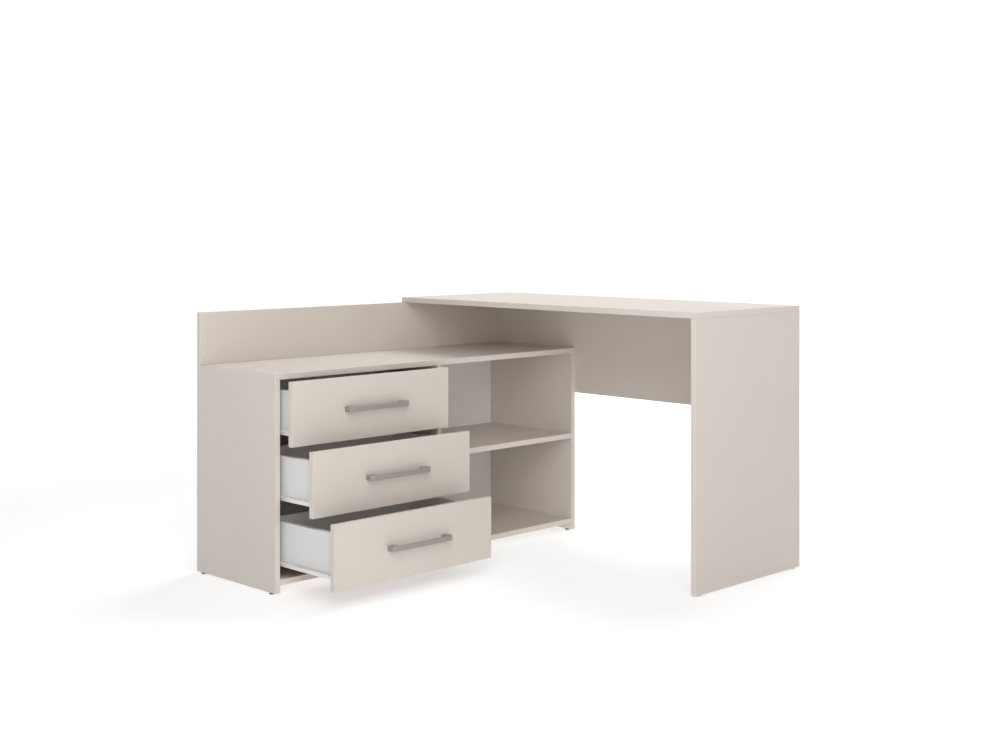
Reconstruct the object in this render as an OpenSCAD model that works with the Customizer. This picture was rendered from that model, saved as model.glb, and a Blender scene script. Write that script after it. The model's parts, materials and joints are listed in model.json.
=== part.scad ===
// Corner desk with a three-drawer return cabinet.
// The cabinet runs front to back on the left; the writing desk stands behind it,
// to the right, between the cabinet's far end and its own end panel.
// +Z is up, +Y points away from the person at the desk, and the drawers face +X.
// The origin is on the floor at the centre of the whole plan.

/* [Overall] */
// Width across the desk, from the cabinet's back to the end panel's outer face
desk_w = 1170; // [960:5:1500]
// Length from the cabinet's near end to the desktop's far edge
desk_l = 1250; // [1040:5:1600]
// Height of the desktop above the floor
desk_h = 750; // [700:5:900]

/* [Boards] */
// Thickness of every laminated board
board_t = 16; // [15:0.2:22]
// Thickness of the hardboard sheets (cabinet back and drawer bottoms)
sheet_t = 3; // [2.5:0.1:4]

/* [Desk] */
// Depth of the desktop
desktop_d = 485; // [400:5:620]
// How far the modesty panel stands in from the desktop's far edge
modesty_inset = 56; // [30:2:100]
// How far the modesty panel laps down over the cabinet's far end
modesty_lap = 143; // [110:1:200]

/* [Cabinet] */
// Depth of the cabinet, from its back to its front edges
cabinet_d = 370; // [305:5:480]
// Height of the cabinet's top face above the floor
cabinet_h = 586; // [485:1:700]
// Clear length of the drawer bay
drawer_bay_l = 565; // [400:5:620]
// Gap between the foot of the end panels and the base board
base_lift = 20; // [10:1:60]
// Side clearance of the loose shelf and of the back sheet
loose_gap = 0.5; // [0.3:0.1:2]

/* [Drawers] */
// Gap above each drawer front
front_gap = 3; // [1:0.1:4]
// Gap between the bottom drawer front and the base board
front_foot_gap = 4; // [1.5:0.5:8]
// Gap at each end of a drawer front
front_end_gap = 2.5; // [1.5:0.1:4]
// How far the top drawer stands open
open_top = 49; // [0:1:150]
// How far the middle drawer stands open
open_middle = 138; // [0:1:170]
// How far the bottom drawer stands open
open_bottom = 226; // [0:1:235]
// Height of the drawer sides
side_h = 118; // [90:1:125]
// Height of the drawer sides' lower edge above the front's lower edge
side_lift = 28; // [18:1:40]
// Height of the bottom sheet above the sides' lower edge
groove_lift = 12; // [10:1:20]
// Depth of the grooves that hold the bottom sheet
groove_depth = 6; // [4:0.5:8]
// Play of the bottom sheet in its grooves
groove_play = 0.3; // [0.2:0.1:0.6]

/* [Runners] */
// Space between the bay wall and the drawer side, filled by the runner
runner_space = 13; // [12.5:0.1:15]
// Thickness of the runners' sheet steel
steel_t = 1.2; // [1:0.1:1.6]
// Diameter of the runner rollers
roller_d = 14.4; // [12:0.2:15]
// Width of the runner rollers
roller_w = 8.4; // [7:0.1:8.6]
// Diameter of the rollers' rivets
rivet_d = 4; // [3:0.1:5]
// Radial running clearance of a roller on its rivet
running_gap = 0.05; // [0.03:0.01:0.1]
// Gap kept between moving steel parts and rollers
play = 0.3; // [0.3:0.05:0.6]
// Least gap between the runners' rear ends and the back sheet
rear_gap = 10; // [5:1:30]

/* [Handles] */
// Overall length of a handle
handle_l = 214; // [120:1:320]
// Height of the handle's flat bar
handle_h = 14; // [10:0.5:20]
// How far a handle sits from the middle of its front, towards the far end
handle_shift = 4; // [-20:1:20]
// How far a handle stands out from the drawer front
handle_reach = 25.5; // [22:0.5:40]
// Thickness of the grip bar
grip_t = 6; // [5:0.5:10]
// Width of a handle's legs, along the drawer front
leg_t = 22; // [8:0.5:30]
// Outer radius of the handle's bends
handle_bend = 9; // [6:0.5:11]

/* [Feet] */
// Height of the nail-on glides
glide_h = 5; // [3:0.5:12]
// Diameter of the nail-on glides
glide_d = 15; // [10:0.5:15]
// Distance from a panel's edge to the middle of its glide
glide_inset = 25; // [15:1:60]

/* [Fittings] */
// Diameter of a cam housing
cam_d = 15; // [12:0.5:15]
// Distance from a joint to the middle of its cam
cam_setback = 34; // [24:1:34]
// Distance from a board's edge to the first fitting
fitting_inset = 50; // [40:1:80]
// Distance between a cam bolt and the dowel beside it
dowel_step = 32; // [24:1:40]
// Diameter of the wooden dowels
dowel_d = 8; // [6:1:8]
// Clearance round fittings in their bores
bore_gap = 0.05; // [0.02:0.01:0.1]

/* [Hidden] */
$fn = 48;
eps = 0.02;

LEVELS = [1, 2, 3];
SIDES = ["near", "far"];
PER_DRAWER = ["front", "side_near", "side_far", "back", "bottom", "handle", "handle_screws",
    "runner_near", "runner_far", "rear_rollers", "cam_fixings"];

// Finishes
decor = [0.80, 0.77, 0.73];
white = [0.93, 0.93, 0.92];
satin_grey = [0.60, 0.59, 0.57];
zinc = [0.72, 0.72, 0.70];
black = [0.08, 0.08, 0.08];
beech = [0.80, 0.66, 0.46];

// Planes of the whole desk
x_back = -desk_w / 2;
x_right = desk_w / 2;
y_near = -desk_l / 2;
y_far = desk_l / 2;
z_under_desktop = desk_h - board_t;
y_desk_front = y_far - desktop_d;
x_right_inner = x_right - board_t;
y_modesty_back = y_far - modesty_inset;
y_modesty = y_modesty_back - board_t;
z_modesty = cabinet_h - modesty_lap;

// Planes of the cabinet
x_front = x_back + cabinet_d;
x_sheet = x_back + sheet_t;
z_under_top = cabinet_h - board_t;
z_base = glide_h + base_lift;
z_base_top = z_base + board_t;
y_bay = y_near + board_t;
y_divider = y_bay + drawer_bay_l;
y_open_bay = y_divider + board_t;
y_far_end = y_modesty - board_t;
z_shelf = (z_base_top + z_under_top - board_t) / 2;

// Drawers, counted from the top
front_h = (z_under_top - z_base_top - 3 * front_gap - front_foot_gap) / 3;
front_y0 = y_bay + front_end_gap;
front_l = drawer_bay_l - 2 * front_end_gap;
x_box = x_front - board_t;
side_y = y_bay + runner_space;
inner_y = side_y + board_t;
inner_l = drawer_bay_l - 2 * (runner_space + board_t);

// Runners come in steps of length: the longest that fits is used, and as long as it is
// the drawer side
runner_step = 50;
extension_loss = 65;
runner_l = runner_step * floor((x_box - x_sheet - rear_gap) / runner_step);
x_box_rear = x_box - runner_l;
travel = runner_l - extension_loss;
open_by = [for (o = [open_top, open_middle, open_bottom]) min(o, travel)];
function front_z(n) = z_under_top - n * (front_gap + front_h);
function side_z(n) = front_z(n) + side_lift;
function moved(n) = [open_by[n - 1], 0, 0];

// Runner section, measured from the drawer side's lower edge and inwards from the bay wall
channel_h = roller_d + 2 * play;
channel_w = 10;
channel_z = steel_t + 0.1;
lip_z = channel_z + channel_h / 2 + steel_t + play + 0.5;
lip_start = steel_t + 1.2;
front_roller_z = lip_z - play - roller_d / 2;
roller_end_gap = 4.8;
tab_end_gap = 2.8;
front_roller_x = x_box - roller_d / 2 - roller_end_gap;
rear_roller_x = x_box_rear + roller_d / 2 + tab_end_gap;
front_cut = roller_d + 2 * roller_end_gap;
web_u = runner_space - steel_t;
roller_side_gap = 0.6;
rivet_head_t = 0.8;
rivet_head_d = rivet_d + 2.8;
head_gap = 0.4;
shelf_flange = 9;
tab_l = 22;
tab_drop = 6;

// Fittings
cam_depth = board_t - 3.5;
bolt_d = 5;
bolt_grip = 11;
bolt_neck_d = 4;
bolt_head_d = 6.4;
bolt_bore_d = 8;
dowel_long = 20;
dowel_short = 10;
screw_d = 4;
screw_head_d = 8;
screw_head_t = 2;
screw_hold = 12;
handle_screw_hold = 10;
handle_head_d = 8;
handle_head_t = 2.2;
nail_d = 2;
nail_hold = 12;
tack_d = 1.5;
tack_head_d = 4;
tack_head_t = 0.8;
tack_hold = 14;
tack_pitch = 130;
pin_d = 5;
pin_hold = 9;
pin_reach = 8;
pin_inset = 40;

// A fitting is [point on the joint, direction into the edge-drilled board, side of the cam]
cabinet_x = [x_back + fitting_inset, x_front - fitting_inset];
cabinet_dowel_x = [x_back + fitting_inset + dowel_step, x_front - fitting_inset - dowel_step];
near_mid_y = y_near + board_t / 2;
far_mid_y = y_far_end + board_t / 2;
divider_mid_y = y_divider + board_t / 2;
base_mid_z = z_base + board_t / 2;
right_mid_x = x_right_inner + board_t / 2;
modesty_mid_y = y_modesty + board_t / 2;
upstand_mid_x = x_back + board_t / 2;
modesty_w = x_right_inner - x_back;
desk_y = [y_desk_front + fitting_inset, y_modesty - fitting_inset];
desk_dowel_y = [y_desk_front + fitting_inset + dowel_step, y_modesty - fitting_inset - dowel_step];
modesty_x = [for (k = [1, 2, 3]) x_back + modesty_w * k / 4];
modesty_dowel_x = [for (x = modesty_x) x + dowel_step];
modesty_z = [z_modesty + fitting_inset, z_under_desktop - fitting_inset - dowel_step];
upstand_y = [for (k = [1, 3, 5, 7]) y_near + (y_modesty - y_near) * k / 8];
upstand_dowel_y = [for (y = upstand_y) y + dowel_step];
under_desk_y = [y_desk_front + fitting_inset, y_modesty - fitting_inset];

TOP_NEAR = [for (x = cabinet_x) [[x, near_mid_y, z_under_top], [0, 0, -1], [0, 1, 0]]];
TOP_FAR = [for (x = cabinet_x) [[x, far_mid_y, z_under_top], [0, 0, -1], [0, 1, 0]]];
TOP_DIVIDER = [for (x = cabinet_x) [[x, divider_mid_y, z_under_top], [0, 0, -1], [0, -1, 0]]];
BASE_DIVIDER = [for (x = cabinet_x) [[x, divider_mid_y, z_base_top], [0, 0, 1], [0, -1, 0]]];
BASE_NEAR = [for (x = cabinet_x) [[x, y_bay, base_mid_z], [0, 1, 0], [0, 0, -1]]];
BASE_FAR = [for (x = cabinet_x) [[x, y_far_end, base_mid_z], [0, -1, 0], [0, 0, -1]]];
DESK_RIGHT = [for (y = desk_y) [[right_mid_x, y, z_under_desktop], [0, 0, -1], [-1, 0, 0]]];
DESK_MODESTY = [for (x = modesty_x) [[x, modesty_mid_y, z_under_desktop], [0, 0, -1], [0, 1, 0]]];
MODESTY_RIGHT = [for (z = modesty_z) [[x_right_inner, modesty_mid_y, z], [-1, 0, 0], [0, 1, 0]]];

D_TOP_NEAR = [for (x = cabinet_dowel_x) [[x, near_mid_y, z_under_top], [0, 0, -1], [0, 1, 0]]];
D_TOP_FAR = [for (x = cabinet_dowel_x) [[x, far_mid_y, z_under_top], [0, 0, -1], [0, 1, 0]]];
D_TOP_DIVIDER = [for (x = cabinet_dowel_x) [[x, divider_mid_y, z_under_top], [0, 0, -1], [0, 1, 0]]];
D_BASE_NEAR = [for (x = cabinet_dowel_x) [[x, y_bay, base_mid_z], [0, 1, 0], [0, 0, 1]]];
D_BASE_FAR = [for (x = cabinet_dowel_x) [[x, y_far_end, base_mid_z], [0, -1, 0], [0, 0, 1]]];
D_DESK_RIGHT = [for (y = desk_dowel_y) [[right_mid_x, y, z_under_desktop], [0, 0, -1], [1, 0, 0]]];
D_DESK_MODESTY = [for (x = modesty_dowel_x) [[x, modesty_mid_y, z_under_desktop], [0, 0, -1], [0, 1, 0]]];
D_DESK_UPSTAND = [for (y = under_desk_y) [[upstand_mid_x, y, z_under_desktop], [0, 0, -1], [1, 0, 0]]];
D_UPSTAND = [for (y = upstand_dowel_y) [[upstand_mid_x, y, cabinet_h], [0, 0, 1], [1, 0, 0]]];

// A panel screw is [centre of its head's outer face, direction it is driven in]
UPSTAND_SCREWS = [for (y = upstand_y) [[upstand_mid_x, y, z_under_top], [0, 0, 1]]];
LAP_SCREWS = [for (x = cabinet_x) for (z = [z_modesty + 30, cabinet_h - 66])
    [[x, y_modesty_back, z], [0, -1, 0]]];

FRAME_CAMS = concat(TOP_NEAR, TOP_FAR, TOP_DIVIDER, BASE_DIVIDER, BASE_NEAR, BASE_FAR,
    DESK_RIGHT, DESK_MODESTY, MODESTY_RIGHT);
FRAME_DOWELS = concat(D_TOP_NEAR, D_TOP_FAR, D_TOP_DIVIDER, D_BASE_NEAR, D_BASE_FAR,
    D_DESK_RIGHT, D_DESK_MODESTY, D_DESK_UPSTAND, D_UPSTAND);

// Drawer fittings: the sides pull up to the front, and the back pulls up to the sides
side_cam_z = [30, 92];
function drawer_front_cams(n, s) = [for (z = side_cam_z)
    [[x_box, s == "near" ? side_y + board_t / 2 : side_y + runner_box_l - board_t / 2,
        side_z(n) + z], [-1, 0, 0], [0, s == "near" ? 1 : -1, 0]]];
function drawer_back_cams(n, s) = [
    [[x_box_rear + board_t / 2, s == "near" ? inner_y : inner_y + inner_l, back_mid_z(n)],
        [0, s == "near" ? 1 : -1, 0], [-1, 0, 0]]];
runner_box_l = drawer_bay_l - 2 * runner_space;
back_z0 = groove_lift + sheet_t + groove_play;
function back_mid_z(n) = side_z(n) + (back_z0 + side_h) / 2;

// Glides and tacks
NEAR_GLIDES = [for (x = [x_back + glide_inset, x_front - glide_inset]) [x, near_mid_y]];
FAR_GLIDES = [for (x = [x_back + glide_inset, x_front - glide_inset]) [x, far_mid_y]];
RIGHT_GLIDES = [for (y = [y_desk_front + glide_inset, y_far - glide_inset]) [right_mid_x, y]];
base_tack_n = floor((y_far_end - y_bay) / tack_pitch);
divider_tack_n = floor((z_under_top - z_base_top) / tack_pitch);
TACKS = concat(
    [for (k = [0 : base_tack_n - 1])
        [x_back, y_bay + (y_far_end - y_bay) * (k + 0.5) / base_tack_n, base_mid_z]],
    [for (k = [0 : divider_tack_n - 1])
        [x_back, divider_mid_y, z_base_top + (z_under_top - z_base_top) * (k + 0.5) / divider_tack_n]]
);
PINS = [for (x = [x_sheet + pin_inset, x_front - pin_inset]) for (s = [-1, 1])
    [x, s < 0 ? y_open_bay : y_far_end, z_shelf, s]];

// ---- helpers -------------------------------------------------------------

// A board between two opposite corners
module board(low, high) {
    translate(low)
        cube(high - low);
}

// Turns +Z to the direction d, one of the six axis directions
module facing(d) {
    if (d[2] > 0) children();
    if (d[2] < 0) rotate([180, 0, 0]) children();
    if (d[0] != 0) rotate([0, 90 * d[0], 0]) children();
    if (d[1] != 0) rotate([-90 * d[1], 0, 0]) children();
}

// The part of a fitting's bores that is in the board drilled on its edge
module cam_edge_bores(list) {
    for (f = list) {
        translate(f[0] - eps * f[1])
            facing(f[1])
                cylinder(d = bolt_bore_d, h = cam_setback + eps);
        translate(f[0] + cam_setback * f[1] + (board_t / 2 - cam_depth) * f[2])
            facing(f[2])
                cylinder(d = cam_d, h = cam_depth + 1);
    }
}

// The part of a fitting's bores that is in the board drilled on its face
module cam_face_bores(list) {
    for (f = list)
        translate(f[0] - bolt_grip * f[1])
            facing(f[1])
                cylinder(d = bolt_d + 2 * bore_gap, h = bolt_grip + eps);
}

module dowel_edge_bores(list) {
    for (f = list)
        translate(f[0] - eps * f[1])
            facing(f[1])
                cylinder(d = dowel_d + 2 * bore_gap, h = dowel_long + eps);
}

module dowel_face_bores(list) {
    for (f = list)
        translate(f[0] - dowel_short * f[1])
            facing(f[1])
                cylinder(d = dowel_d + 2 * bore_gap, h = dowel_short + eps);
}

// Cam bolts with their cam housings
module cams(list) {
    for (f = list) {
        cam_bolt(f);
        cam_housing(f);
    }
}

module cam_bolt(f) {
    translate(f[0] - bolt_grip * f[1])
        facing(f[1]) {
            cylinder(d = bolt_d, h = bolt_grip);
            cylinder(d = bolt_neck_d, h = bolt_grip + cam_setback - 1);
            translate([0, 0, bolt_grip])
                cylinder(d = bolt_bore_d - 1, h = 2);
            translate([0, 0, bolt_grip + cam_setback - 4])
                cylinder(d = bolt_head_d, h = 4);
        }
}

module cam_housing(f) {
    difference() {
        translate(f[0] + cam_setback * f[1] + (board_t / 2 - cam_depth) * f[2])
            facing(f[2])
                difference() {
                    cylinder(d = cam_d - 2 * bore_gap, h = cam_depth);
                    for (turn = [0, 90])
                        translate([0, 0, cam_depth])
                            rotate(turn)
                                cube([cam_d / 2, 1.4, 4], center = true);
                }
        translate(f[0])
            facing(f[1])
                cylinder(d = bolt_bore_d, h = cam_setback + bolt_head_d / 2);
    }
}

module screw_bores(list, through) {
    for (s = list)
        translate(s[0] - eps * s[1])
            facing(s[1]) {
                cylinder(d = screw_d + 2 * bore_gap, h = through + screw_hold + eps);
                cylinder(d = screw_head_d + 2 * bore_gap, h = screw_head_t + eps);
            }
}

// ---- desk ----------------------------------------------------------------

module desktop() {
    color(decor)
        difference() {
            board([x_back, y_desk_front, z_under_desktop], [x_right, y_far, desk_h]);
            cam_face_bores(concat(DESK_RIGHT, DESK_MODESTY));
            dowel_face_bores(concat(D_DESK_RIGHT, D_DESK_MODESTY, D_DESK_UPSTAND));
        }
}

module right_end_panel() {
    color(decor)
        difference() {
            board([x_right_inner, y_desk_front, glide_h], [x_right, y_far, z_under_desktop]);
            cam_edge_bores(DESK_RIGHT);
            dowel_edge_bores(D_DESK_RIGHT);
            cam_face_bores(MODESTY_RIGHT);
            glide_bores(RIGHT_GLIDES);
        }
}

module modesty_panel() {
    color(decor)
        difference() {
            board([x_back, y_modesty, z_modesty], [x_right_inner, y_modesty_back, z_under_desktop]);
            cam_edge_bores(concat(DESK_MODESTY, MODESTY_RIGHT));
            dowel_edge_bores(D_DESK_MODESTY);
            screw_bores(LAP_SCREWS, board_t);
        }
}

module upstand() {
    color(decor)
        difference() {
            board([x_back, y_near, cabinet_h], [x_back + board_t, y_modesty, z_under_desktop]);
            dowel_edge_bores(concat(D_DESK_UPSTAND, D_UPSTAND));
            screw_bores(UPSTAND_SCREWS, board_t);
        }
}

// ---- cabinet -------------------------------------------------------------

module cabinet_top() {
    color(decor)
        difference() {
            board([x_back, y_near, z_under_top], [x_front, y_modesty, cabinet_h]);
            cam_face_bores(concat(TOP_NEAR, TOP_FAR, TOP_DIVIDER));
            dowel_face_bores(concat(D_TOP_NEAR, D_TOP_FAR, D_TOP_DIVIDER, D_UPSTAND));
            screw_bores(UPSTAND_SCREWS, board_t);
        }
}

module cabinet_near_end() {
    color(decor)
        difference() {
            board([x_back, y_near, glide_h], [x_front, y_bay, z_under_top]);
            cam_edge_bores(TOP_NEAR);
            dowel_edge_bores(D_TOP_NEAR);
            cam_face_bores(BASE_NEAR);
            dowel_face_bores(D_BASE_NEAR);
            glide_bores(NEAR_GLIDES);
        }
}

module cabinet_far_end() {
    color(decor)
        difference() {
            board([x_back, y_far_end, glide_h], [x_front, y_modesty, z_under_top]);
            cam_edge_bores(TOP_FAR);
            dowel_edge_bores(D_TOP_FAR);
            cam_face_bores(BASE_FAR);
            dowel_face_bores(D_BASE_FAR);
            screw_bores(LAP_SCREWS, board_t);
            glide_bores(FAR_GLIDES);
            pin_bores();
        }
}

module cabinet_divider() {
    color(decor)
        difference() {
            board([x_sheet, y_divider, z_base_top], [x_front, y_open_bay, z_under_top]);
            cam_edge_bores(concat(TOP_DIVIDER, BASE_DIVIDER));
            dowel_edge_bores(D_TOP_DIVIDER);
            tack_bores();
            pin_bores();
        }
}

module cabinet_base() {
    color(decor)
        difference() {
            board([x_sheet, y_bay, z_base], [x_front, y_far_end, z_base_top]);
            cam_edge_bores(concat(BASE_NEAR, BASE_FAR));
            dowel_edge_bores(concat(D_BASE_NEAR, D_BASE_FAR));
            cam_face_bores(BASE_DIVIDER);
            tack_bores();
        }
}

module shelf() {
    color(decor)
        board([x_sheet, y_open_bay + loose_gap, z_shelf],
            [x_front, y_far_end - loose_gap, z_shelf + board_t]);
}

module cabinet_back() {
    color(white)
        difference() {
            board([x_back, y_bay + loose_gap, z_base],
                [x_sheet, y_far_end - loose_gap, z_under_top - loose_gap]);
            tack_bores();
        }
}

// ---- fittings of the frame -----------------------------------------------

module tack_bores() {
    for (p = TACKS)
        translate(p - [eps, 0, 0])
            rotate([0, 90, 0]) {
                cylinder(d = tack_d + 2 * bore_gap, h = tack_hold + eps);
                cylinder(d = tack_head_d + 2 * bore_gap, h = tack_head_t + eps);
            }
}

module back_nails() {
    color(zinc)
        for (p = TACKS)
            translate(p)
                rotate([0, 90, 0]) {
                    cylinder(d = tack_d, h = tack_hold);
                    cylinder(d = tack_head_d, h = tack_head_t);
                }
}

module glide_bores(list) {
    for (p = list)
        translate([p[0], p[1], glide_h - eps])
            cylinder(d = nail_d + 2 * bore_gap, h = nail_hold + eps);
}

// A domed pad with its nail
module glides(list) {
    for (p = list)
        translate([p[0], p[1], 0]) {
            cylinder(d1 = glide_d - 3, d2 = glide_d, h = glide_h * 0.3);
            translate([0, 0, glide_h * 0.3])
                cylinder(d = glide_d, h = glide_h * 0.7);
            cylinder(d = nail_d, h = glide_h + nail_hold);
        }
}

module cabinet_glides() {
    color(black)
        glides(concat(NEAR_GLIDES, FAR_GLIDES));
}

module end_panel_glides() {
    color(white)
        glides(RIGHT_GLIDES);
}

module pin_bores() {
    for (p = PINS)
        translate([p[0], p[1] + p[3] * (pin_hold / 2 - eps / 2), p[2] - pin_d / 2])
            rotate([90, 0, 0])
                cylinder(d = pin_d + 2 * bore_gap, h = pin_hold + eps, center = true);
}

module shelf_pins() {
    color(zinc)
        for (p = PINS)
            translate([p[0], p[1] + p[3] * (pin_hold - pin_reach) / 2, p[2] - pin_d / 2])
                rotate([90, 0, 0])
                    cylinder(d = pin_d, h = pin_hold + pin_reach, center = true);
}

module cam_fixings() {
    color(zinc)
        cams(FRAME_CAMS);
}

module dowels() {
    color(beech)
        for (f = FRAME_DOWELS)
            translate(f[0] - dowel_short * f[1])
                facing(f[1])
                    cylinder(d = dowel_d, h = dowel_short + dowel_long);
}

module panel_screws() {
    color(zinc)
        for (s = concat(UPSTAND_SCREWS, LAP_SCREWS))
            translate(s[0])
                facing(s[1])
                    difference() {
                        union() {
                            cylinder(d = screw_d, h = board_t + screw_hold);
                            cylinder(d = screw_head_d, h = screw_head_t);
                        }
                        for (turn = [0, 90])
                            rotate(turn)
                                cube([screw_head_d * 0.6, 1, 2], center = true);
                    }
}

// ---- runners -------------------------------------------------------------

// Runner coordinates: x as the desk's, y inwards from the bay wall, z from the side's edge
module on_wall(n, s) {
    if (s == "near")
        translate([0, y_bay, side_z(n)])
            children();
    else
        translate([0, y_divider, side_z(n)])
            mirror([0, 1, 0])
                children();
}

// Rail fixed to the bay wall: a channel, cut back at the front for its roller's rivet
module rail(n, s) {
    z0 = channel_z - channel_h / 2 - steel_t;
    z1 = channel_z + channel_h / 2;
    color(white)
        on_wall(n, s) {
            board([x_box - runner_l, 0, z0], [x_box, steel_t, z1 + steel_t]);
            board([x_box - runner_l, 0, z0], [x_box, channel_w, z0 + steel_t]);
            board([x_box - runner_l, 0, z1], [x_box - front_cut, channel_w, z1 + steel_t]);
            translate([front_roller_x, steel_t / 2, front_roller_z])
                rivet(roller_side_gap + steel_t / 2);
        }
}

// A rivet along +Y with room for one roller between its foot and its head
module rivet(foot) {
    rotate([-90, 0, 0]) {
        cylinder(d = rivet_d, h = foot + roller_w + head_gap + rivet_head_t);
        translate([0, 0, foot + roller_w + head_gap])
            cylinder(d = rivet_head_d, h = rivet_head_t);
    }
}

// A roller along +Y, bored to run on its rivet
module roller() {
    rotate([-90, 0, 0])
        difference() {
            cylinder(d = roller_d, h = roller_w);
            translate([0, 0, -1])
                cylinder(d = rivet_d + 2 * running_gap, h = roller_w + 2);
        }
}

module rail_rollers(n) {
    color(white)
        for (s = SIDES)
            on_wall(n, s)
                translate([front_roller_x, steel_t + roller_side_gap, front_roller_z])
                    roller();
}

// Runner under the drawer side: an angle with an outward lip that rides on the front roller
module drawer_runner(n, s) {
    color(white)
        translate(moved(n))
            on_wall(n, s) {
                board([x_box_rear, web_u, -steel_t], [x_box, runner_space, lip_z + steel_t]);
                board([x_box_rear, web_u, -steel_t], [x_box, runner_space + shelf_flange, 0]);
                board([x_box_rear, lip_start, lip_z], [x_box, runner_space, lip_z + steel_t]);
                board([x_box_rear, web_u, -tab_drop], [x_box_rear + tab_l, runner_space, 0]);
                translate([rear_roller_x, web_u + steel_t / 2, channel_z])
                    mirror([0, 1, 0])
                        rivet(roller_side_gap + steel_t / 2);
            }
}

module drawer_rear_rollers(n) {
    color(white)
        translate(moved(n))
            for (s = SIDES)
                on_wall(n, s)
                    translate([rear_roller_x, web_u - roller_side_gap - roller_w, channel_z])
                        roller();
}

// ---- drawers -------------------------------------------------------------

handle_mid_y = front_y0 + front_l / 2 + handle_shift;
handle_holes_y = [handle_mid_y - (handle_l - leg_t) / 2, handle_mid_y + (handle_l - leg_t) / 2];
function front_mid_z(n) = front_z(n) + front_h / 2;

module bottom_groove(n) {
    board([x_box_rear - 1, inner_y - groove_depth, side_z(n) + groove_lift],
        [x_box + groove_depth, inner_y + inner_l + groove_depth,
            side_z(n) + groove_lift + sheet_t + groove_play]);
}

module drawer_front(n) {
    color(decor)
        translate(moved(n))
            difference() {
                board([x_box, front_y0, front_z(n)],
                    [x_front, front_y0 + front_l, front_z(n) + front_h]);
                bottom_groove(n);
                for (s = SIDES)
                    cam_face_bores(drawer_front_cams(n, s));
                for (y = handle_holes_y)
                    translate([x_box - 1, y, front_mid_z(n)])
                        rotate([0, 90, 0])
                            cylinder(d = screw_d + 0.5, h = board_t + 2);
            }
}

module drawer_side(n, s) {
    y0 = s == "near" ? side_y : inner_y + inner_l;
    color(white)
        translate(moved(n))
            difference() {
                board([x_box_rear, y0, side_z(n)], [x_box, y0 + board_t, side_z(n) + side_h]);
                bottom_groove(n);
                cam_edge_bores(drawer_front_cams(n, s));
                cam_face_bores(drawer_back_cams(n, s));
            }
}

module drawer_back(n) {
    color(white)
        translate(moved(n))
            difference() {
                board([x_box_rear, inner_y, side_z(n) + back_z0],
                    [x_box_rear + board_t, inner_y + inner_l, side_z(n) + side_h]);
                for (s = SIDES)
                    cam_edge_bores(drawer_back_cams(n, s));
            }
}

module drawer_bottom(n) {
    slack = groove_depth - loose_gap;
    z0 = side_z(n) + groove_lift;
    color(white)
        translate(moved(n))
            board([x_box_rear, inner_y - slack, z0],
                [x_box + slack, inner_y + inner_l + slack, z0 + sheet_t]);
}

module drawer_cam_fixings(n) {
    color(zinc)
        translate(moved(n))
            for (s = SIDES)
                cams(concat(drawer_front_cams(n, s), drawer_back_cams(n, s)));
}

// Plan of a handle: a long bow with rounded outer and inner bends
module handle_plan() {
    inner_bend = handle_bend - min(grip_t, leg_t) + 1;
    difference() {
        rounded_bow(handle_l, handle_reach, handle_bend);
        translate([-1, 0])
            rounded_bow(handle_l - 2 * leg_t, handle_reach - grip_t + 1, inner_bend);
    }
}

// A rectangle from x = 0, with its two far corners rounded
module rounded_bow(length, reach, r) {
    translate([0, -length / 2])
        square([reach - r, length]);
    translate([0, -length / 2 + r])
        square([reach, length - 2 * r]);
    for (side = [-1, 1])
        translate([reach - r, side * (length / 2 - r)])
            circle(r = r);
}

module handle(n) {
    color(satin_grey)
        translate(moved(n) + [x_front, handle_mid_y, front_mid_z(n) - handle_h / 2])
            difference() {
                linear_extrude(handle_h)
                    handle_plan();
                for (side = [-1, 1])
                    translate([-1, side * (handle_l - leg_t) / 2, handle_h / 2])
                        rotate([0, 90, 0])
                            cylinder(d = screw_d + 2 * bore_gap, h = handle_screw_hold + 1);
            }
}

module handle_screws(n) {
    color(zinc)
        translate(moved(n))
            for (y = handle_holes_y)
                translate([x_box, y, front_mid_z(n)])
                    rotate([0, 90, 0])
                        difference() {
                            union() {
                                cylinder(d = screw_d, h = board_t + handle_screw_hold - 1);
                                translate([0, 0, -handle_head_t])
                                    cylinder(d = handle_head_d, h = handle_head_t);
                            }
                            for (turn = [0, 90])
                                translate([0, 0, -handle_head_t])
                                    rotate(turn)
                                        cube([handle_head_d * 0.6, 1, 2], center = true);
                        }
}

// ---- drawing -------------------------------------------------------------

desktop();
right_end_panel();
modesty_panel();
upstand();
cabinet_top();
cabinet_near_end();
cabinet_far_end();
cabinet_divider();
cabinet_base();
shelf();
cabinet_back();
back_nails();
cabinet_glides();
end_panel_glides();
shelf_pins();
cam_fixings();
dowels();
panel_screws();
for (n = LEVELS) {
    rail(n, "near");
    rail(n, "far");
    rail_rollers(n);
    drawer_front(n);
    drawer_side(n, "near");
    drawer_side(n, "far");
    drawer_back(n);
    drawer_bottom(n);
    handle(n);
    handle_screws(n);
    drawer_runner(n, "near");
    drawer_runner(n, "far");
    drawer_rear_rollers(n);
    drawer_cam_fixings(n);
}
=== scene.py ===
import json
import math

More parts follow.
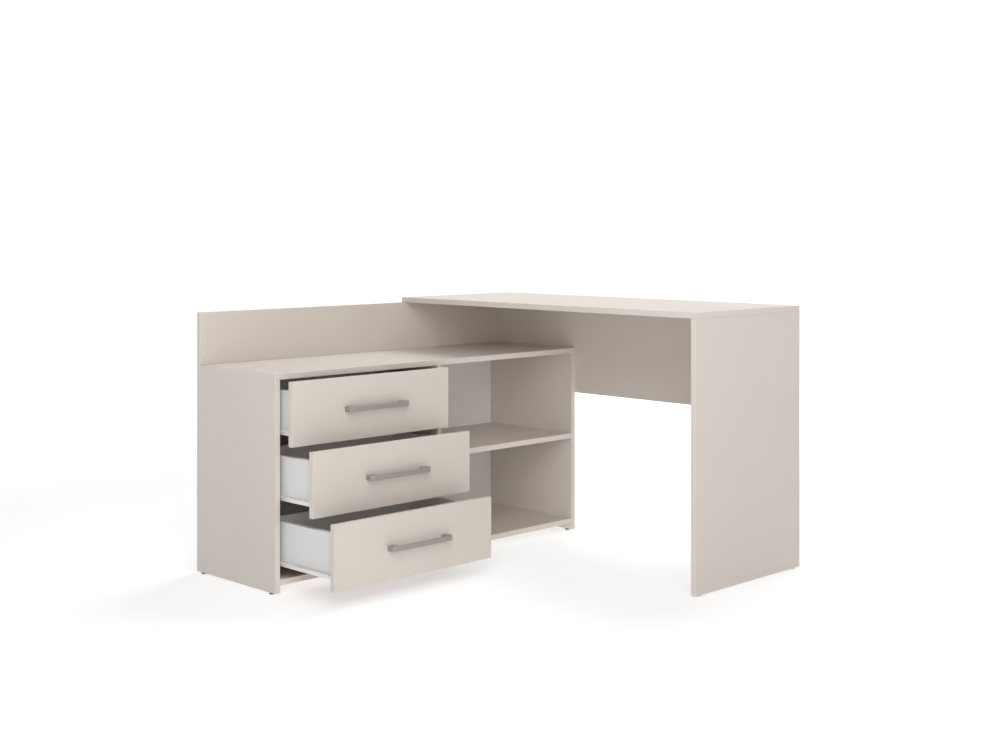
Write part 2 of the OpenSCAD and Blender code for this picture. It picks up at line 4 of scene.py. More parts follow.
import bmesh
import bpy
import numpy as np
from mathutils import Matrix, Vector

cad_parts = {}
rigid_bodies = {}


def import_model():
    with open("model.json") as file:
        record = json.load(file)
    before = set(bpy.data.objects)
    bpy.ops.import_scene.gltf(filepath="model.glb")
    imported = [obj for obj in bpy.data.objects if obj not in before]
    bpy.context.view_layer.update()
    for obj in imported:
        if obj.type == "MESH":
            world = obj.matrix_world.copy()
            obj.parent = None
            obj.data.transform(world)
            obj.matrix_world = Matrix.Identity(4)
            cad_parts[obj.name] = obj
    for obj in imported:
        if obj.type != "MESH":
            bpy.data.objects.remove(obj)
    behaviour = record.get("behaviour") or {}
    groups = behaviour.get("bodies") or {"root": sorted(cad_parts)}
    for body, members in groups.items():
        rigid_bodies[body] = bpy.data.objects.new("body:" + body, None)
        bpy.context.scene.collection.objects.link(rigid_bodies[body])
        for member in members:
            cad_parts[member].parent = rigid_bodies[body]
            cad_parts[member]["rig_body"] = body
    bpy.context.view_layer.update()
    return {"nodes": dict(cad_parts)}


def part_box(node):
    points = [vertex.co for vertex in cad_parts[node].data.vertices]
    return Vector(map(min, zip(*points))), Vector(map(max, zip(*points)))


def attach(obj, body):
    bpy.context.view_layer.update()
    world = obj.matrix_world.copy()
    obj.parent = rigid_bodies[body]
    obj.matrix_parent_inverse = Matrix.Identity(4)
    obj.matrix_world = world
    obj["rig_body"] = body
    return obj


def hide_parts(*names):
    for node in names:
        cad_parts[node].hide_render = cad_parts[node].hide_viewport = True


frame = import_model()
nodes = frame["nodes"]


# ---- Cabinet boards ----------------------------------------------------------
# Chipboard, 16 mm thick, faced on both sides with a plain warm grey melamine paper.
# A thin plastic band of the same colour is glued round each board's edges and its
# corners are scraped to a small arris. Cam bolts and dowels hold the boards together.

decor_colour = (0.640, 0.583, 0.530)
arris_width = 0.0009
arris_steps = 3
flatness = math.radians(1)


def merged_copy(node, ending):
    """A CAD part's own shape as a new piece: its loose triangles are joined where
    their corners meet, and those that lie in one plane become one facet."""
    part = nodes[node]
    mesh = part.data.copy()
    mesh.materials.clear()
    shell = bmesh.new()
    shell.from_mesh(mesh)
    bmesh.ops.remove_doubles(shell, verts=shell.verts, dist=1e-6)
    bmesh.ops.dissolve_limit(
        shell, angle_limit=flatness, verts=shell.verts, edges=shell.edges)
    shell.to_mesh(mesh)
    shell.free()
    piece = bpy.data.objects.new(f"{node}_{ending}", mesh)
    bpy.context.scene.collection.objects.link(piece)
    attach(piece, part["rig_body"])
    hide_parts(node)
    return piece


def array_of(items, name, width, kind=float):
    """One property of all vertices, edges or faces of a mesh as an array."""
    values = np.empty(len(items) * width, kind)
    items.foreach_get(name, values)
    return values.reshape(-1, width)


def ease_outline(piece, width, finish):
    """Rounds a board's twelve outer edges. An edge is one of them when both of its
    ends lie in the same two of the six outer planes; the bores' rims stay crisp."""
    mesh = piece.data
    points = array_of(mesh.vertices, "co", 3)
    first, second = array_of(mesh.edges, "vertices", 2, np.int32).T
    low = np.abs(points - points.min(0)) < 1e-6
    high = np.abs(points - points.max(0)) < 1e-6
    shared = (low[first] & low[second]) | (high[first] & high[second])
    weight = (shared.sum(1) >= 2).astype(np.float32)
    mesh.attributes.new("bevel_weight_edge", "FLOAT", "EDGE").data.foreach_set("value", weight)
    ease = piece.modifiers.new("arris", "BEVEL")
    ease.width = width
    ease.segments = arris_steps
    ease.limit_method = "WEIGHT"
    ease.use_clamp_overlap = False
    ease.material = finish


def banded_board(node, face, band):
    """A board with its faces in one finish and its edges in another. The faces are
    the facets whose normal runs through the board's smallest size."""
    piece = merged_copy(node, "board")
    mesh = piece.data
    mesh.materials.append(face)
    mesh.materials.append(band)
    through = np.argmin(np.ptp(array_of(mesh.vertices, "co", 3), axis=0))
    on_edge = np.abs(array_of(mesh.polygons, "normal", 3)[:, through]) < 0.5
    mesh.polygons.foreach_set("material_index", on_edge.astype(np.int32))
    ease_outline(piece, arris_width, 1)
    return piece


def new_finish(name):
    """An empty finish: its material, node tree, shader and Object coordinates."""
    material = bpy.data.materials.new(name)
    material.use_nodes = True
    tree = material.node_tree
    tree.nodes.clear()
    shader = tree.nodes.new("ShaderNodeBsdfPrincipled")
    output = tree.nodes.new("ShaderNodeOutputMaterial")
    tree.links.new(shader.outputs["BSDF"], output.inputs["Surface"])
    place = tree.nodes.new("ShaderNodeTexCoord").outputs["Object"]
    return material, tree, shader, place


def patches(tree, place, size, detail=2.0):
    """Soft noise from 0 to 1 whose patches are about size across, in metres."""
    noise = tree.nodes.new("ShaderNodeTexNoise")
    noise.inputs["Scale"].default_value = 1 / size
    noise.inputs["Detail"].default_value = detail
    tree.links.new(place, noise.inputs["Vector"])
    spread = tree.nodes.new("ShaderNodeMapRange")
    spread.inputs["From Min"].default_value = 0.3
    spread.inputs["From Max"].default_value = 0.7
    tree.links.new(noise.outputs["Fac"], spread.inputs["Value"])
    return spread.outputs["Result"]


def vary_colour(tree, factor, first, second):
    """A colour that goes from the first to the second as the factor rises."""
    mix = tree.nodes.new("ShaderNodeMix")
    mix.data_type = "RGBA"
    mix.inputs["A"].default_value = (*first, 1)
    mix.inputs["B"].default_value = (*second, 1)
    tree.links.new(factor, mix.inputs["Factor"])
    return mix.outputs["Result"]


def shaded(colour, amount):
    """A colour made lighter, or darker where the amount is below nought."""
    return tuple(c * (1 + amount) for c in colour)


def vary_gloss(tree, shader, factor, smooth, rough):
    """Roughness that goes from smooth to rough as the factor rises."""
    span = tree.nodes.new("ShaderNodeMapRange")
    span.inputs["To Min"].default_value = smooth
    span.inputs["To Max"].default_value = rough
    tree.links.new(factor, span.inputs["Value"])
    tree.links.new(span.outputs["Result"], shader.inputs["Roughness"])


def raise_grain(tree, shader, factor, height):
    """Relief of that height in metres where the factor is high, over any before it."""
    bump = tree.nodes.new("ShaderNodeBump")
    bump.inputs["Distance"].default_value = height
    tree.links.new(factor, bump.inputs["Height"])
    if shader.inputs["Normal"].is_linked:
        below = shader.inputs["Normal"].links[0].from_socket
        tree.links.new(below, bump.inputs["Normal"])
    tree.links.new(bump.outputs["Normal"], shader.inputs["Normal"])


def melamine(name, colour, gloss):
    """Printed paper pressed under resin: an even colour with faint broad clouding, a
    fine pearl relief from the press plate, and slightly uneven gloss."""
    material, tree, shader, place = new_finish(name)
    clouding = patches(tree, place, 0.22)
    tone = vary_colour(tree, clouding, shaded(colour, -0.012), shaded(colour, 0.012))
    tree.links.new(tone, shader.inputs["Base Color"])
    vary_gloss(tree, shader, patches(tree, place, 0.04), gloss - 0.04, gloss + 0.05)
    raise_grain(tree, shader, patches(tree, place, 0.0011, 3), 0.00002)
    return material


def edge_band(name, colour, gloss):
    """Extruded plastic band: smoother than the faces, with faint scraper ripples."""
    material, tree, shader, place = new_finish(name)
    rubbed = patches(tree, place, 0.006)
    tone = vary_colour(tree, rubbed, shaded(colour, -0.015), shaded(colour, 0.02))
    tree.links.new(tone, shader.inputs["Base Color"])
    vary_gloss(tree, shader, patches(tree, place, 0.015), gloss - 0.05, gloss + 0.06)
    raise_grain(tree, shader, patches(tree, place, 0.003), 0.00003)
    return material


decor_face = melamine("greige_melamine", decor_colour, 0.46)
decor_band = edge_band("greige_edge_band", decor_colour, 0.38)

for node in ("cabinet_near_end", "cabinet_far_end", "cabinet_divider", "cabinet_base", "shelf",
             "cabinet_top"):
    banded_board(node, decor_face, decor_band)


# ---- Cabinet back ------------------------------------------------------------
# One sheet of 3 mm hardboard, lacquered white on the face that shows in the cabinet
# and left raw, brown and fibrous, behind. It is nailed to the base and the divider.

lacquer_colour = (0.90, 0.885, 0.87)
fibre_colour = (0.235, 0.130, 0.066)
wire_pitch = 0.0016
sheet_arris = 0.0003


def lacquered_hardboard():
    """White lacquer, thin enough for the pressed fibres to show as a soft relief."""
    material, tree, shader, place = new_finish("white_hardboard_lacquer")
    tone = vary_colour(
        tree, patches(tree, place, 0.12), shaded(lacquer_colour, -0.02), lacquer_colour)
    tree.links.new(tone, shader.inputs["Base Color"])
    vary_gloss(tree, shader, patches(tree, place, 0.03), 0.40, 0.52)
    raise_grain(tree, shader, patches(tree, place, 0.002, 4), 0.00004)
    return material


def raw_hardboard():
    """Pressed wood fibre: brown, matte and flecked, with the print of the wire mesh
    that it was pressed on, a grid of small dimples 1.6 mm apart."""
    material, tree, shader, place = new_finish("raw_hardboard_fibre")
    flecks = patches(tree, place, 0.0035, 6)
    tone = vary_colour(tree, flecks, shaded(fibre_colour, -0.3), shaded(fibre_colour, 0.35))
    tree.links.new(tone, shader.inputs["Base Color"])
    vary_gloss(tree, shader, patches(tree, place, 0.02), 0.75, 0.9)
    raise_grain(tree, shader, flecks, 0.0001)
    mesh_print = tree.nodes.new("ShaderNodeTexVoronoi")
    mesh_print.inputs["Scale"].default_value = 1 / wire_pitch
    mesh_print.inputs["Randomness"].default_value = 0.1
    tree.links.new(place, mesh_print.inputs["Vector"])
    raise_grain(tree, shader, mesh_print.outputs["Distance"], 0.00015)
    return material


def faced_sheet(node, face_side, face, reverse):
    """A thin sheet with one good face: the facets whose normal runs towards it."""
    piece = merged_copy(node, "sheet")
    mesh = piece.data
    mesh.materials.append(face)
    mesh.materials.append(reverse)
    other = array_of(mesh.polygons, "normal", 3) @ np.array(face_side) < 0.5
    mesh.polygons.foreach_set("material_index", other.astype(np.int32))
    ease_outline(piece, sheet_arris, 1)
    return piece


white_sheet = lacquered_hardboard()
raw_sheet = raw_hardboard()
faced_sheet("cabinet_back", (1, 0, 0), white_sheet, raw_sheet)


# ---- Nails of the back -------------------------------------------------------
# Flat-headed steel nails, zinc plated, driven flush through the back sheet.

zinc_colour = (0.62, 0.62, 0.60)
nail_rounding = 0.0002
sharp_edge = math.radians(50)


def zinc_plate(name, colour, rough):
    """Zinc plating on steel: grey metal with small crystals of uneven brightness."""
    material, tree, shader, place = new_finish(name)
    crystals = patches(tree, place, 0.0012, 4)
    tone = vary_colour(tree, crystals, shaded(colour, -0.12), shaded(colour, 0.1))
    tree.links.new(tone, shader.inputs["Base Color"])
    shader.inputs["Metallic"].default_value = 1.0
    vary_gloss(tree, shader, patches(tree, place, 0.003), rough - 0.08, rough + 0.1)
    raise_grain(tree, shader, crystals, 0.00001)
    return material


def round_over(node, ending, width, finish):
    """A small CAD fitting with every edge sharper than 50 degrees rounded over."""
    piece = merged_copy(node, ending)
    piece.data.materials.append(finish)
    ease = piece.modifiers.new("round_over", "BEVEL")
    ease.width = width
    ease.segments = 2
    ease.limit_method = "ANGLE"
    ease.angle_limit = sharp_edge
    return piece


zinc = zinc_plate("zinc_plating", zinc_colour, 0.38)
round_over("back_nails", "rounded", nail_rounding, zinc)


# ---- Shelf pins --------------------------------------------------------------
# Four turned pins, 5 mm thick, pushed into blind holes. A thin collar stops each one
# against the board, and the loose shelf lies on the four ends.

smooth_below = math.radians(35)


def skin(name, parts, finish, body, wrap=False):
    """Faces over grids of rings. Each part is an array of copies, stations, points
    round and three coordinates: every ring is joined to the next, and flat caps close
    the first and last, or the last joins the first where wrap is true."""
    points = []
    faces = []
    count = 0
    for rings in parts:
        index = count + np.arange(rings[..., 0].size).reshape(rings.shape[:3])
        count += index.size
        if wrap:
            index = np.concatenate([index, index[:, :1]], axis=1)
        else:
            faces += index[:, 0].tolist() + index[:, -1, ::-1].tolist()
        here, there = index[:, :-1], index[:, 1:]
        corners = [here, there, np.roll(there, -1, axis=2), np.roll(here, -1, axis=2)]
        faces += np.stack(corners, axis=-1).reshape(-1, 4).tolist()
        points.append(rings.reshape(-1, 3))
    mesh = bpy.data.meshes.new(name)
    mesh.from_pydata(np.concatenate(points).tolist(), [], faces)
    shell = bmesh.new()
    shell.from_mesh(mesh)
    bmesh.ops.recalc_face_normals(shell, faces=shell.faces)
    shell.to_mesh(mesh)
    shell.free()
    mesh.shade_smooth()
    mesh.set_sharp_from_angle(angle=smooth_below)
    mesh.materials.append(finish)
    piece = bpy.data.objects.new(name, mesh)
    bpy.context.scene.collection.objects.link(piece)
    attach(piece, body)
    return piece


def turned(profile, places, axis, around=24, cross=None):
    """Rings of a turned shape: each (radius, height) of the profile becomes a circle
    about the axis, at that height from every place. A cross recess (reach, depth) is
    a cone sunk in the top, whose reach shrinks to a third between its four arms."""
    profile = np.array(profile, float)
    axis = np.array(axis, float)
    side = np.roll(axis, 1)
    angle = np.arange(around) * 2 * math.pi / around
    spoke = np.outer(np.cos(angle), side) + np.outer(np.sin(angle), np.cross(axis, side))
    radius = profile[:, 0, None]
    height = np.repeat(profile[:, 1, None], around, axis=1)
    if cross:
        arms = cross[0] * (1 + 2 * np.cos(2 * angle) ** 6) / 3
        top = np.arange(len(profile))[:, None] > np.argmax(profile[:, 0])
        height -= top * cross[1] * np.clip(1 - radius / arms, 0, 1)
    rings = height[..., None] * axis + radius[..., None] * spoke
    return np.array(places, float)[:, None, None] + rings


pin_low, pin_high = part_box("shelf_pins")
pin_radius = (pin_high.z - pin_low.z) / 2
pin_reach = 0.008
pin_collar = 0.0004
pin_collar_radius = pin_radius + 0.0010
bay_walls = (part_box("cabinet_divider")[1].y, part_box("cabinet_far_end")[0].y)
pin_rows = (pin_low.x + pin_radius, pin_high.x - pin_radius)
pin_depth = pin_low.y - bay_walls[0]
pin_profile = [
    (0.0006, pin_depth), (pin_radius - 0.0002, pin_depth), (pin_radius, pin_depth + 0.0004),
    (pin_radius, 0), (pin_collar_radius, 0), (pin_collar_radius, pin_collar),
    (pin_radius, pin_collar),
    (pin_radius, pin_reach - 0.0008), (pin_radius * 0.9, pin_reach - 0.0002),
    (pin_radius * 0.6, pin_reach), (0.0003, pin_reach)]
pins = [
    turned(pin_profile, [(x, wall, pin_low.z + pin_radius) for x in pin_rows], (0, way, 0))
    for wall, way in zip(bay_walls, (1, -1))]
shelf_pins = skin("shelf_pins_turned", pins, zinc, "root")
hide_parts("shelf_pins")


# ---- Glides ------------------------------------------------------------------
# Round plastic pads with a moulded-in nail, knocked into the lower edge of each end
# panel: black ones under the cabinet, pale ones under the desk's end panel.

glide_radius = 0.0075
black_colour = (0.012, 0.012, 0.012)
pale_colour = (0.70, 0.68, 0.64)


def moulded_plastic(name, colour, gloss):
    """Injection-moulded plastic: even colour, fine spark-eroded texture."""
    material, tree, shader, place = new_finish(name)
    tone = vary_colour(tree, patches(tree, place, 0.01), shaded(colour, -0.05), colour)
    tree.links.new(tone, shader.inputs["Base Color"])
    vary_gloss(tree, shader, patches(tree, place, 0.004), gloss - 0.05, gloss + 0.08)
    raise_grain(tree, shader, patches(tree, place, 0.0006, 3), 0.00002)
    return material


def glides(name, node, xs, ys, finish):
    """Glides at every crossing of the given rows, standing on the floor: a domed sole,
    a rounded rim, a slightly tapered wall, and the nail above."""
    low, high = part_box(node)
    places = [(x, y, low.z) for x in xs for y in ys]
    profile = [
        (0.0005, 0), (0.0048, 0), (0.0062, 0.0004), (0.0071, 0.0010), (glide_radius, 0.0018),
        (0.0074, 0.0042), (0.0071, 0.0048), (0.0066, 0.0050), (0.0010, 0.0050),
        (0.0010, high.z - low.z - 0.002), (0.0001, high.z - low.z)]
    piece = skin(name, [turned(profile, places, (0, 0, 1), 36)], finish, "root")
    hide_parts(node)


low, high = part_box("cabinet_glides")
glides("cabinet_glides_moulded", "cabinet_glides", (low.x + glide_radius, high.x - glide_radius),
       (low.y + glide_radius, high.y - glide_radius),
       moulded_plastic("black_plastic", black_colour, 0.45))
low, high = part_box("end_panel_glides")
glides("end_panel_glides_moulded", "end_panel_glides", ((low.x + high.x) / 2,),
       (low.y + glide_radius, high.y - glide_radius),
       moulded_plastic("pale_plastic", pale_colour, 0.4))


# ---- Upstand, modesty panel, end panel and desktop ---------------------------
# Boards of the same make as the cabinet's. The upstand stands on the cabinet's top at
# its back, the modesty panel laps down over the far end, and the desktop lies on both
# of them and on the end panel.

for node in ("upstand", "modesty_panel", "right_end_panel", "desktop"):
    banded_board(node, decor_face, decor_band)


# ---- Fixings in the boards ---------------------------------------------------
# Zinc cam housings with their bolts, beech dowels, and countersunk screws. They lie in
# their bores, so only the cams' slotted faces and the screws' heads show.

early_wood = (0.50, 0.34, 0.19)
late_wood = (0.60, 0.43, 0.26)


def beech_wood():
    """Beech turned along the grain: pale tan, with close darker growth lines."""
    material, tree, shader, place = new_finish("beech_wood")
    rings = tree.nodes.new("ShaderNodeTexWave")
    rings.inputs["Scale"].default_value = 420
    rings.inputs["Distortion"].default_value = 3
    tree.links.new(place, rings.inputs["Vector"])
    tone = vary_colour(tree, rings.outputs["Fac"], early_wood, late_wood)
    tree.links.new(tone, shader.inputs["Base Color"])
    vary_gloss(tree, shader, patches(tree, place, 0.005), 0.6, 0.75)
    raise_grain(tree, shader, rings.outputs["Fac"], 0.00005)
    return material


def refinish(node, finish):
    """Gives a CAD part that stays as it is its finish."""
    nodes[node].data.materials.clear()
    nodes[node].data.materials.append(finish)


refinish("cam_fixings", zinc)
refinish("dowels", beech_wood())
refinish("panel_screws", zinc)


# ---- Runner rails on the bay walls -------------------------------------------
# Cold-rolled strip, 1.2 mm thick, folded to a channel and powder coated white. A
# roller turns on a rivet at the front, where the upper flange is cut away, and three
# screws through the web hold each rail.

steel = 0.0012
strip_bend = 0.0014
channel_width = 0.010
channel_height = 0.0174
front_cut = 0.024
rear_screw = 0.035
front_screw = 0.045
roller_width = 0.0084
rivet_grip = roller_width + 0.0010
cross_recess = (0.0022, 0.0008)
coat_colour = (0.84, 0.84, 0.83)
nylon_colour = (0.80, 0.80, 0.77)
drawer_numbers = (1, 2, 3)


def powder_coat():
    """White powder coat: smooth gloss over a faint orange-peel relief."""
    material, tree, shader, place = new_finish("white_powder_coat")
    tone = vary_colour(
        tree, patches(tree, place, 0.05), shaded(coat_colour, -0.02), coat_colour)
    tree.links.new(tone, shader.inputs["Base Color"])
    vary_gloss(tree, shader, patches(tree, place, 0.01), 0.28, 0.38)
    raise_grain(tree, shader, patches(tree, place, 0.0018), 0.00004)
    return material


def folded(corners, bend, thickness):
    """Section of a folded strip: its centre line runs through the corners, turns each
    of them in a quarter circle, and is set off by half the thickness to both sides."""
    corners = np.array(corners, float)
    turn = np.linspace(0, math.pi / 2, 6)[:, None]
    line = [corners[:1]]
    for before, corner, after in zip(corners, corners[1:], corners[2:]):
        back = (before - corner) / np.linalg.norm(before - corner)
        on = (after - corner) / np.linalg.norm(after - corner)
        line.append(corner + bend * ((1 - np.cos(turn)) * on + (1 - np.sin(turn)) * back))
    line = np.concatenate(line + [corners[-1:]])
    along = np.gradient(line, axis=0)
    along /= np.linalg.norm(along, axis=1, keepdims=True)
    off = np.stack([-along[:, 1], along[:, 0]], axis=1) * thickness / 2
    return np.concatenate([line + off, (line - off)[::-1]])


def drawn(section, x_from, x_to, wall, way, z_from):
    """Rings of a section drawn along X: its first size runs from the wall in the way
    given, along Y, and its second upwards from z_from."""
    rings = np.empty((1, 2, len(section), 3))
    rings[..., 0] = np.array([x_from, x_to])[:, None]
    rings[..., 1] = wall + way * section[:, 0]
    rings[..., 2] = z_from + section[:, 1]
    return rings


def rivet(places, way, grip):
    """Rings of a set rivet along Y: a shank that long, and a low domed head."""
    profile = [
        (0.0003, 0), (0.0020, 0), (0.0020, grip), (0.0032, grip), (0.0034, grip + 0.0003),
        (0.0028, grip + 0.0006), (0.0014, grip + 0.0008), (0.0003, grip + 0.0008)]
    return turned(profile, places, (0, way, 0))


def roller(places, way, radius, width):
    """Rings of a moulded roller about a 4.1 mm bore: rounded tread, and a shallow
    groove in each end between the hub and the rim."""
    half = [
        (0.00205, 0), (0.0031, 0), (0.0033, 0.0008), (radius - 0.0017, 0.0008),
        (radius - 0.0014, 0), (radius - 0.0006, 0), (radius - 0.0001, 0.0005),
        (radius, 0.0012)]
    mirrored = [(r, width - h) for r, h in reversed(half)]
    return turned(half + mirrored, places, (0, way, 0), 40)


coated_steel = powder_coat()
nylon = moulded_plastic("natural_nylon", nylon_colour, 0.35)
channel = folded(
    [(channel_width, steel / 2), (steel / 2, steel / 2), (steel / 2, channel_height - steel / 2),
     (channel_width, channel_height - steel / 2)], strip_bend, steel)
angle_iron = folded(
    [(channel_width, steel / 2), (steel / 2, steel / 2), (steel / 2, channel_height)],
    strip_bend, steel)
screw_dome = [
    (0.0003, 0), (0.0034, 0), (0.0034, 0.0002), (0.0028, 0.0006), (0.0022, 0.0008),
    (0.0016, 0.0009), (0.0010, 0.0009), (0.0005, 0.0009), (0.0002, 0.0009)]
rail_screws = []
for n in drawer_numbers:
    roller_low, roller_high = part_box(f"rail_{n}_rollers")
    roller_radius = (roller_high.z - roller_low.z) / 2
    roller_x = roller_low.x + roller_radius
    roller_z = roller_low.z + roller_radius
    rollers = []
    for side, way in (("near", 1), ("far", -1)):
        node = f"rail_{n}_{side}"
        low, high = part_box(node)
        wall = low.y if way > 0 else high.y
        cut_x = high.x - front_cut
        web = wall + way * steel
        parts = [
            drawn(channel, low.x, cut_x, wall, way, low.z),
            drawn(angle_iron, cut_x, high.x, wall, way, low.z),
            rivet([(roller_x, web, roller_z)], way, rivet_grip)]
        rail = skin(f"{node}_folded", parts, coated_steel, "root")
        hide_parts(node)
        end = roller_low.y if way > 0 else roller_high.y
        rollers.append(roller([(roller_x, end, roller_z)], way, roller_radius, roller_width))
        places = [(x, web, low.z + channel_height / 2)
                  for x in (low.x + rear_screw, (low.x + high.x) / 2, high.x - front_screw)]
        rail_screws.append(turned(screw_dome, places, (0, way, 0), cross=cross_recess))
    pair = skin(f"rail_{n}_rollers_moulded", rollers, nylon,
                f"rail_rollers_{n}", wrap=True)
    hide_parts(f"rail_{n}_rollers")
skin("rail_screws", rail_screws, zinc, "root")


# ---- Drawer boxes ------------------------------------------------------------
# White melamine board, 16 mm thick, for the sides and back, round a hardboard bottom
# that slides in grooves. The front is a board of the desk's own colour, pulled against
# the sides by cams whose slotted faces show inside the drawer.

white_colour = (0.705, 0.70, 0.695)
white_face = melamine("white_melamine", white_colour, 0.40)
white_band = edge_band("white_edge_band", white_colour, 0.34)
for n in drawer_numbers:
    banded_board(f"drawer_{n}_front", decor_face, decor_band)
    for part in ("side_near", "side_far", "back"):
        banded_board(f"drawer_{n}_{part}", white_face, white_band)
    faced_sheet(f"drawer_{n}_bottom", (0, 0, 1), white_sheet, raw_sheet)
    refinish(f"drawer_{n}_cam_fixings", zinc)


# ---- Runners under the drawer sides ------------------------------------------
# The moving half of each runner is a strip folded three ways: a foot under the side,
# a web up its outer face, and a lip turned out over the rail's roller. Its own roller
# hangs on a tab at the rear and runs in the rail's channel.

runner_gap = 0.013
foot_width = 0.009
lip_height = 0.012
lip_start = 0.0024
tab_length = 0.022
tab_drop = 0.006
end_screw = 0.040

strip = folded(
    [(runner_gap + foot_width, -steel / 2), (runner_gap - steel / 2, -steel / 2),
     (runner_gap - steel / 2, lip_height - steel / 2), (lip_start, lip_height - steel / 2)],
    strip_bend, steel)
tab = folded(
    [(runner_gap - steel / 2, -tab_drop), (runner_gap - steel / 2, 0.001)], 0, steel)
for n in drawer_numbers:
    roller_low, roller_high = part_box(f"drawer_{n}_rear_rollers")
    roller_radius = (roller_high.z - roller_low.z) / 2
    roller_x = roller_low.x + roller_radius
    roller_z = roller_low.z + roller_radius
    rollers = []
    runner_screws = []
    for side, way in (("near", 1), ("far", -1)):
        node = f"drawer_{n}_runner_{side}"
        low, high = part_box(node)
        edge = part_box(f"drawer_{n}_side_{side}")
        wall = (edge[0].y if way > 0 else edge[1].y) - way * runner_gap
        web = wall + way * (runner_gap - steel)
        parts = [
            drawn(strip, low.x, high.x, wall, way, edge[0].z),
            drawn(tab, low.x, low.x + tab_length, wall, way, edge[0].z),
            rivet([(roller_x, web, roller_z)], -way, rivet_grip)]
        runner = skin(f"{node}_folded", parts, coated_steel, f"drawer_{n}")
        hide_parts(node)
        start = roller_low.y if way > 0 else roller_high.y
        rollers.append(roller([(roller_x, start, roller_z)], way, roller_radius, roller_width))
        foot_y = wall + way * (runner_gap + foot_width / 2)
        places = [(x, foot_y, edge[0].z - steel)
                  for x in (low.x + end_screw, (low.x + high.x) / 2, high.x - end_screw)]
        runner_screws.append(turned(screw_dome, places, (0, 0, -1), cross=cross_recess))
    pair = skin(f"drawer_{n}_rear_rollers_moulded", rollers, nylon,
                f"rear_rollers_{n}", wrap=True)
    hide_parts(f"drawer_{n}_rear_rollers")
    skin(f"drawer_{n}_runner_screws", runner_screws, zinc, f"drawer_{n}")


# ---- Handles -----------------------------------------------------------------
# A cast zinc bow, 214 mm long, with a thin grip between two broad legs and corners of
# 9 mm radius. It is brushed along its length, plated satin grey, and held by two
# pan-head screws, 192 mm apart, from inside the drawer.

satin_colour = (0.33, 0.315, 0.30)
leg_width = 0.022
grip_thickness = 0.006
outer_bend = 0.009
inner_bend = 0.004
section_round = 0.0011
screw_rounding = 0.0003


def satin_plating():
    """Brushed satin nickel: fine scratches drawn out along the handle."""
    material, tree, shader, place = new_finish("satin_nickel")
    lengthwise = tree.nodes.new("ShaderNodeMapping")
    lengthwise.inputs["Scale"].default_value = (1, 0.02, 1)
    tree.links.new(place, lengthwise.inputs["Vector"])
    scratches = patches(tree, lengthwise.outputs["Vector"], 0.0004, 4)
    tone = vary_colour(
        tree, scratches, shaded(satin_colour, -0.08), shaded(satin_colour, 0.08))
    tree.links.new(tone, shader.inputs["Base Color"])
    shader.inputs["Metallic"].default_value = 0.5
    vary_gloss(tree, shader, scratches, 0.5, 0.62)
    raise_grain(tree, shader, scratches, 0.00001)
    return material


def bow(half_length, reach, bend):
    """Plan of one side of the bow, out from the drawer, round the first bend, along
    the grip and back: quarter circles of the bend's radius between straight runs."""
    turn = np.linspace(0, math.pi / 2, 10)
    out = np.concatenate([[0, reach / 3], reach - bend + bend * np.sin(turn)])
    over = np.concatenate([[0, 0], bend * (1 - np.cos(turn))]) - half_length
    middle = np.array([[reach, 0]])
    half = np.stack([out, over], axis=1)
    return np.concatenate([half, middle, (half * (1, -1))[::-1]])


def handle_rings(origin, length, reach, height):
    """Rings of the handle: at each station the section is a rectangle with rounded
    corners, as thick as the outer line is far from the inner one."""
    outer = bow(length / 2, reach, outer_bend)
    inner = bow(length / 2 - leg_width, reach - grip_thickness, inner_bend)
    span = outer - inner
    thickness = np.linalg.norm(span, axis=1)
    corner = np.repeat([(1, 1), (-1, 1), (-1, -1), (1, -1)], 5, axis=0)
    turn = np.arange(4)[:, None] * math.pi / 2 + np.linspace(0, math.pi / 2, 5)
    arc = np.stack([np.cos(turn.ravel()), np.sin(turn.ravel())], axis=1) * section_round
    across = corner[:, 0] * (thickness[:, None] / 2 - section_round) + arc[:, 0]
    up = corner[:, 1] * (height / 2 - section_round) + arc[:, 1]
    rings = np.empty((1, len(outer), len(corner), 3))
    middle = (outer + inner) / 2
    rings[..., :2] = middle[:, None] + across[..., None] * (span / thickness[:, None])[:, None]
    rings[..., 2] = up
    return rings + origin


satin = satin_plating()
for n in drawer_numbers:
    low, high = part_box(f"drawer_{n}_handle")
    origin = (low.x, (low.y + high.y) / 2, (low.z + high.z) / 2)
    rings = handle_rings(origin, high.y - low.y, high.x - low.x, high.z - low.z)
    handle = skin(f"drawer_{n}_handle_bow", [rings], satin, f"drawer_{n}")
    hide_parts(f"drawer_{n}_handle")
    round_over(
        f"drawer_{n}_handle_screws", "rounded", screw_rounding, zinc)


# ---- Studio ------------------------------------------------------------------
# A pale floor that glows, a white room seen directly and in reflections, and four large
# soft lights: a low and a high one in front, one overhead and a high one behind.

floor_reach = 60.0
floor_colour = (0.60, 0.60, 0.60)
floor_glow = 0.55
room_glow = 1.2
glow_from = 1.8
glow_to = 4.0
light_size = 2.8
light_distance = 4.6
light_aim = (0, 0, 0.35)
studio_lights = (
    ("front_low", -42, 15, 82),
    ("front_high", -45, 40, 72),
    ("overhead", -45, 85, 36),
    ("back_high", 110, 55, 135),
)


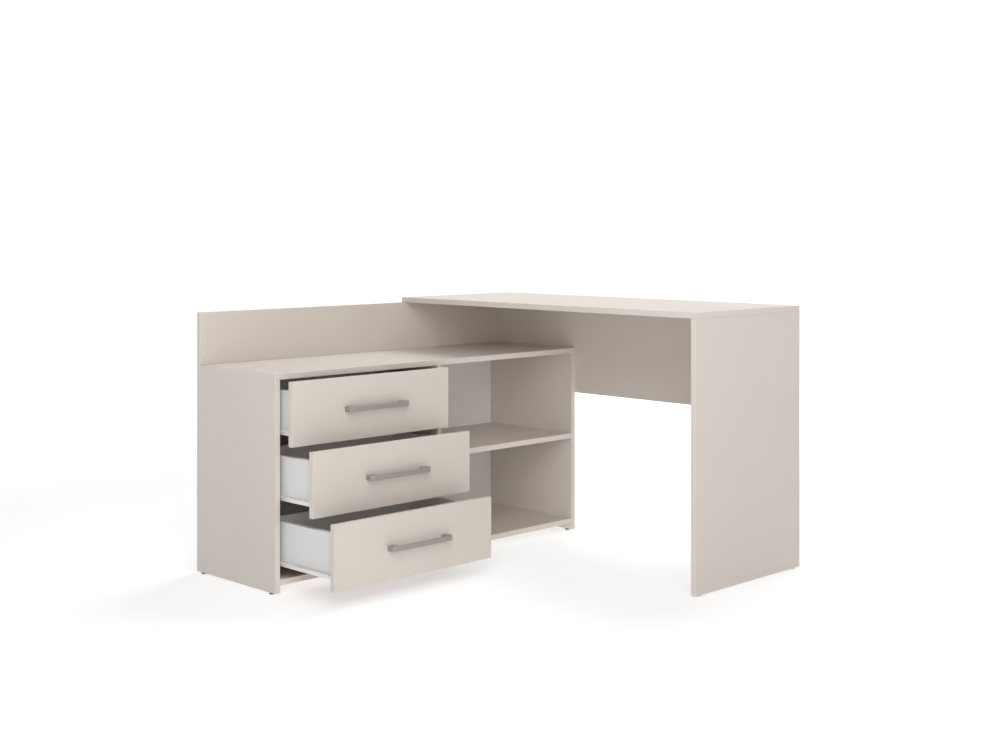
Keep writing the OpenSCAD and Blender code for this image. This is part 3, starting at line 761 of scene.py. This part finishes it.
def white_floor():
    """Matte white paint with barely visible unevenness, lit from inside: a little near
    the desk, and fully at a distance, so that it has no horizon."""
    material, tree, shader, place = new_finish("white_floor")
    tone = vary_colour(tree, patches(tree, place, 1.5), floor_colour, shaded(floor_colour, 0.017))
    tree.links.new(tone, shader.inputs["Base Color"])
    vary_gloss(tree, shader, patches(tree, place, 0.5), 0.85, 0.9)
    shader.inputs["Emission Color"].default_value = (1, 1, 1, 1)
    distance = tree.nodes.new("ShaderNodeVectorMath")
    distance.operation = "LENGTH"
    tree.links.new(place, distance.inputs[0])
    glow = tree.nodes.new("ShaderNodeMapRange")
    glow.interpolation_type = "SMOOTHSTEP"
    glow.inputs["From Min"].default_value = glow_from
    glow.inputs["From Max"].default_value = glow_to
    glow.inputs["To Min"].default_value = floor_glow
    glow.inputs["To Max"].default_value = 1.0
    tree.links.new(distance.outputs["Value"], glow.inputs["Value"])
    tree.links.new(glow.outputs["Result"], shader.inputs["Emission Strength"])
    return material


floor_corners = [(x, y, 0) for x, y in ((-1, -1), (1, -1), (1, 1), (-1, 1))]
floor_mesh = bpy.data.meshes.new("floor")
floor_mesh.from_pydata((np.array(floor_corners) * floor_reach).tolist(), [], [(0, 1, 2, 3)])
floor_mesh.materials.append(white_floor())
floor = bpy.data.objects.new("floor", floor_mesh)
bpy.context.scene.collection.objects.link(floor)


def soft_light(name, azimuth, elevation, power):
    """A square soft light on a ball round the aim, at that azimuth and elevation in degrees,
    turned to face the aim, and not seen itself."""
    lamp = bpy.data.lights.new(name, "AREA")
    lamp.size = light_size
    lamp.energy = power
    light = bpy.data.objects.new(name, lamp)
    bpy.context.scene.collection.objects.link(light)
    turn = math.radians(azimuth)
    rise = math.radians(elevation)
    away = np.array((math.cos(rise) * math.cos(turn), math.cos(rise) * math.sin(turn), math.sin(rise)))
    light.location = np.array(light_aim) + light_distance * away
    light.rotation_euler = (math.pi / 2 - rise, 0, turn + math.pi / 2)
    light.visible_camera = False
    light.visible_glossy = False


for name, azimuth, elevation, power in studio_lights:
    soft_light(name, azimuth, elevation, power)

world = bpy.data.worlds.new("white_room")
world.use_nodes = True
room = world.node_tree.nodes["Background"]
room.inputs["Color"].default_value = (1, 1, 1, 1)
room.inputs["Strength"].default_value = room_glow
world.cycles_visibility.diffuse = False
bpy.context.scene.world = world
bpy.context.scene.view_settings.view_transform = "Standard"

camera = bpy.data.objects.new("camera", bpy.data.cameras.new("camera"))
bpy.context.scene.collection.objects.link(camera)
camera.location = (2.930, -2.928, 0.981)
camera.rotation_euler = (math.radians(90), 0, math.radians(45.03))
camera.data.lens = 52.53
camera.data.shift_y = -0.1503
camera.data.clip_end = 200
bpy.context.scene.camera = camera
